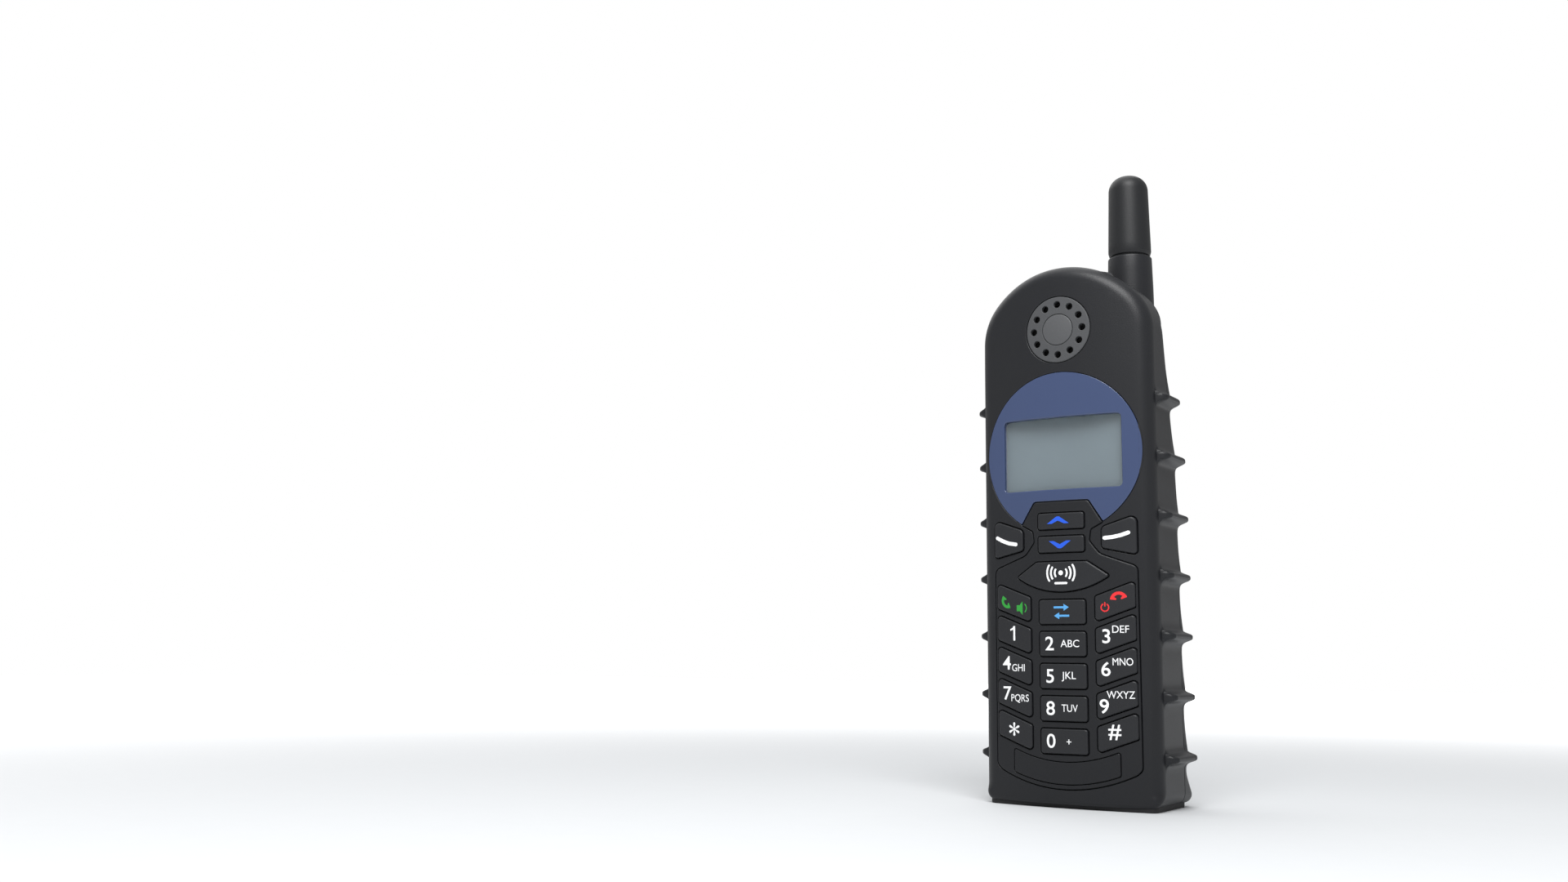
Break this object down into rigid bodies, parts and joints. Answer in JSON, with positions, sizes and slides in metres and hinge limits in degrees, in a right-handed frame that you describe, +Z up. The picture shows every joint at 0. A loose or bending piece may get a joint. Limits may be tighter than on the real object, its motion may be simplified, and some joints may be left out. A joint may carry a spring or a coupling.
{
  "type": "rugged radio telephone handset",
  "caption": "Rugged upright portable radio telephone with a stub antenna, round display bezel, ribbed sides, sprung keypad and removable battery.",
  "frame": {"origin": "middle of the flat foot, on the plane the handset stands on, 16.4 mm behind the front face's crown line, which is the middle of the housing's depth at the foot", "axes": "+Z up towards the antenna, the keypad faces -Y, +X is the right-hand side seen from the front"},
  "size_m": [0.061, 0.0334, 0.192],
  "materials": {
    "shell": "fine-grained satin moulding",
    "keys": "fine-grained satin moulding",
    "plate": "fine-grained satin moulding",
    "bezel": "glossy translucent blue",
    "window": "clear and polished",
    "lcd": "grey-green liquid crystal cell",
    "backlight": "white diffuser",
    "frame": "moulded",
    "grille": "fine-grained satin moulding",
    "rubber": "dull",
    "speaker": "painted",
    "membrane": "silicone rubber",
    "gold": "gold plated",
    "board": "solder mask",
    "steel": "bright",
    "chips": "moulded epoxy",
    "cell": "printed film wrap"
  },
  "bodies": {
    "handset": {"front_shell": "shell", "rear_shell": "shell", "shell_gasket": "rubber", "keypad_plate": "plate", "name_plate": "plate", "base_foot": "rubber", "display_bezel": "bezel", "display_window": "window", "lcd_panel": "lcd", "lcd_backlight": "backlight", "lcd_frame": "frame", "earpiece_grille": "grille", "earpiece_cap": "grille", "earpiece_gasket": "rubber", "earpiece_speaker": "speaker", "key_membrane": "membrane", "dome_sheet": "gold", "main_board": "board", "radio_shield": "steel", "logic_shield": "steel", "board_chips": "chips", "board_screws": "steel", "microphone": "steel", "microphone_boot": "rubber", "loudspeaker": "speaker", "loudspeaker_gasket": "rubber", "motor_can": "steel", "antenna_socket": "gold", "battery_contacts": "gold", "charging_contacts": "gold", "shell_screws": "steel"},
    "antenna": {"antenna_sleeve": "rubber", "antenna_coil": "gold", "antenna_stud": "gold"},
    "battery": {"battery_cover": "shell", "battery_cell": "cell", "battery_terminals": "gold"},
    "battery_screw": {"cover_screw": "steel"},
    "vibrator": {"motor_weight": "steel"},
    "nav_up_key": {"nav_up_key": "keys"},
    "nav_down_key": {"nav_down_key": "keys"},
    "soft_left_key": {"soft_left_key": "keys"},
    "soft_right_key": {"soft_right_key": "keys"},
    "broadcast_key": {"broadcast_key": "keys"},
    "talk_key": {"talk_key": "keys"},
    "intercom_key": {"intercom_key": "keys"},
    "end_key": {"end_key": "keys"},
    "key_1_key": {"key_1": "keys"},
    "key_2_key": {"key_2": "keys"},
    "key_3_key": {"key_3": "keys"},
    "key_4_key": {"key_4": "keys"},
    "key_5_key": {"key_5": "keys"},
    "key_6_key": {"key_6": "keys"},
    "key_7_key": {"key_7": "keys"},
    "key_8_key": {"key_8": "keys"},
    "key_9_key": {"key_9": "keys"},
    "key_star_key": {"key_star": "keys"},
    "key_0_key": {"key_0": "keys"},
    "key_hash_key": {"key_hash": "keys"}
  },
  "joints": [
    {"name": "nav_up_press", "type": "slide", "parent": "handset", "child": "nav_up_key", "axis": [0, 1, 0], "range_m": [0, 0.0007], "stiffness_N_per_m": 2000},
    {"name": "nav_down_press", "type": "slide", "parent": "handset", "child": "nav_down_key", "axis": [0, 1, 0], "range_m": [0, 0.0007], "stiffness_N_per_m": 2000},
    {"name": "soft_left_press", "type": "slide", "parent": "handset", "child": "soft_left_key", "axis": [0, 1, 0], "range_m": [0, 0.0007], "stiffness_N_per_m": 2000},
    {"name": "soft_right_press", "type": "slide", "parent": "handset", "child": "soft_right_key", "axis": [0, 1, 0], "range_m": [0, 0.0007], "stiffness_N_per_m": 2000},
    {"name": "broadcast_press", "type": "slide", "parent": "handset", "child": "broadcast_key", "axis": [0, 1, 0], "range_m": [0, 0.0007], "stiffness_N_per_m": 2400},
    {"name": "talk_press", "type": "slide", "parent": "handset", "child": "talk_key", "axis": [0, 1, 0], "range_m": [0, 0.0007], "stiffness_N_per_m": 2000},
    {"name": "intercom_press", "type": "slide", "parent": "handset", "child": "intercom_key", "axis": [0, 1, 0], "range_m": [0, 0.0007], "stiffness_N_per_m": 2000},
    {"name": "end_press", "type": "slide", "parent": "handset", "child": "end_key", "axis": [0, 1, 0], "range_m": [0, 0.0007], "stiffness_N_per_m": 2000},
    {"name": "key_1_press", "type": "slide", "parent": "handset", "child": "key_1_key", "axis": [0, 1, 0], "range_m": [0, 0.0007], "stiffness_N_per_m": 2000},
    {"name": "key_2_press", "type": "slide", "parent": "handset", "child": "key_2_key", "axis": [0, 1, 0], "range_m": [0, 0.0007], "stiffness_N_per_m": 2000},
    {"name": "key_3_press", "type": "slide", "parent": "handset", "child": "key_3_key", "axis": [0, 1, 0], "range_m": [0, 0.0007], "stiffness_N_per_m": 2000},
    {"name": "key_4_press", "type": "slide", "parent": "handset", "child": "key_4_key", "axis": [0, 1, 0], "range_m": [0, 0.0007], "stiffness_N_per_m": 2000},
    {"name": "key_5_press", "type": "slide", "parent": "handset", "child": "key_5_key", "axis": [0, 1, 0], "range_m": [0, 0.0007], "stiffness_N_per_m": 2000},
    {"name": "key_6_press", "type": "slide", "parent": "handset", "child": "key_6_key", "axis": [0, 1, 0], "range_m": [0, 0.0007], "stiffness_N_per_m": 2000},
    {"name": "key_7_press", "type": "slide", "parent": "handset", "child": "key_7_key", "axis": [0, 1, 0], "range_m": [0, 0.0007], "stiffness_N_per_m": 2000},
    {"name": "key_8_press", "type": "slide", "parent": "handset", "child": "key_8_key", "axis": [0, 1, 0], "range_m": [0, 0.0007], "stiffness_N_per_m": 2000},
    {"name": "key_9_press", "type": "slide", "parent": "handset", "child": "key_9_key", "axis": [0, 1, 0], "range_m": [0, 0.0007], "stiffness_N_per_m": 2000},
    {"name": "key_star_press", "type": "slide", "parent": "handset", "child": "key_star_key", "axis": [0, 1, 0], "range_m": [0, 0.0007], "stiffness_N_per_m": 2000},
    {"name": "key_0_press", "type": "slide", "parent": "handset", "child": "key_0_key", "axis": [0, 1, 0], "range_m": [0, 0.0007], "stiffness_N_per_m": 2000},
    {"name": "key_hash_press", "type": "slide", "parent": "handset", "child": "key_hash_key", "axis": [0, 1, 0], "range_m": [0, 0.0007], "stiffness_N_per_m": 2000},
    {"name": "battery_removal", "type": "slide", "parent": "handset", "child": "battery", "axis": [0, 0.9998, 0.0209], "range_m": [0, 0.016]},
    {"name": "battery_screw_turn", "type": "hinge", "parent": "battery", "child": "battery_screw", "pos_m": [0, 0.01409, 0.09097], "axis": [0, 0.9998, 0.0209], "continuous": true},
    {"name": "antenna_unscrew", "type": "hinge", "parent": "handset", "child": "antenna", "pos_m": [0.015, 0.0062, 0.1656], "axis": [0, 0, 1], "continuous": true},
    {"name": "vibrator_spin", "type": "hinge", "parent": "handset", "child": "vibrator", "pos_m": [0.007, -0.0012, 0.134], "axis": [1, 0, 0], "continuous": true}
  ]
}
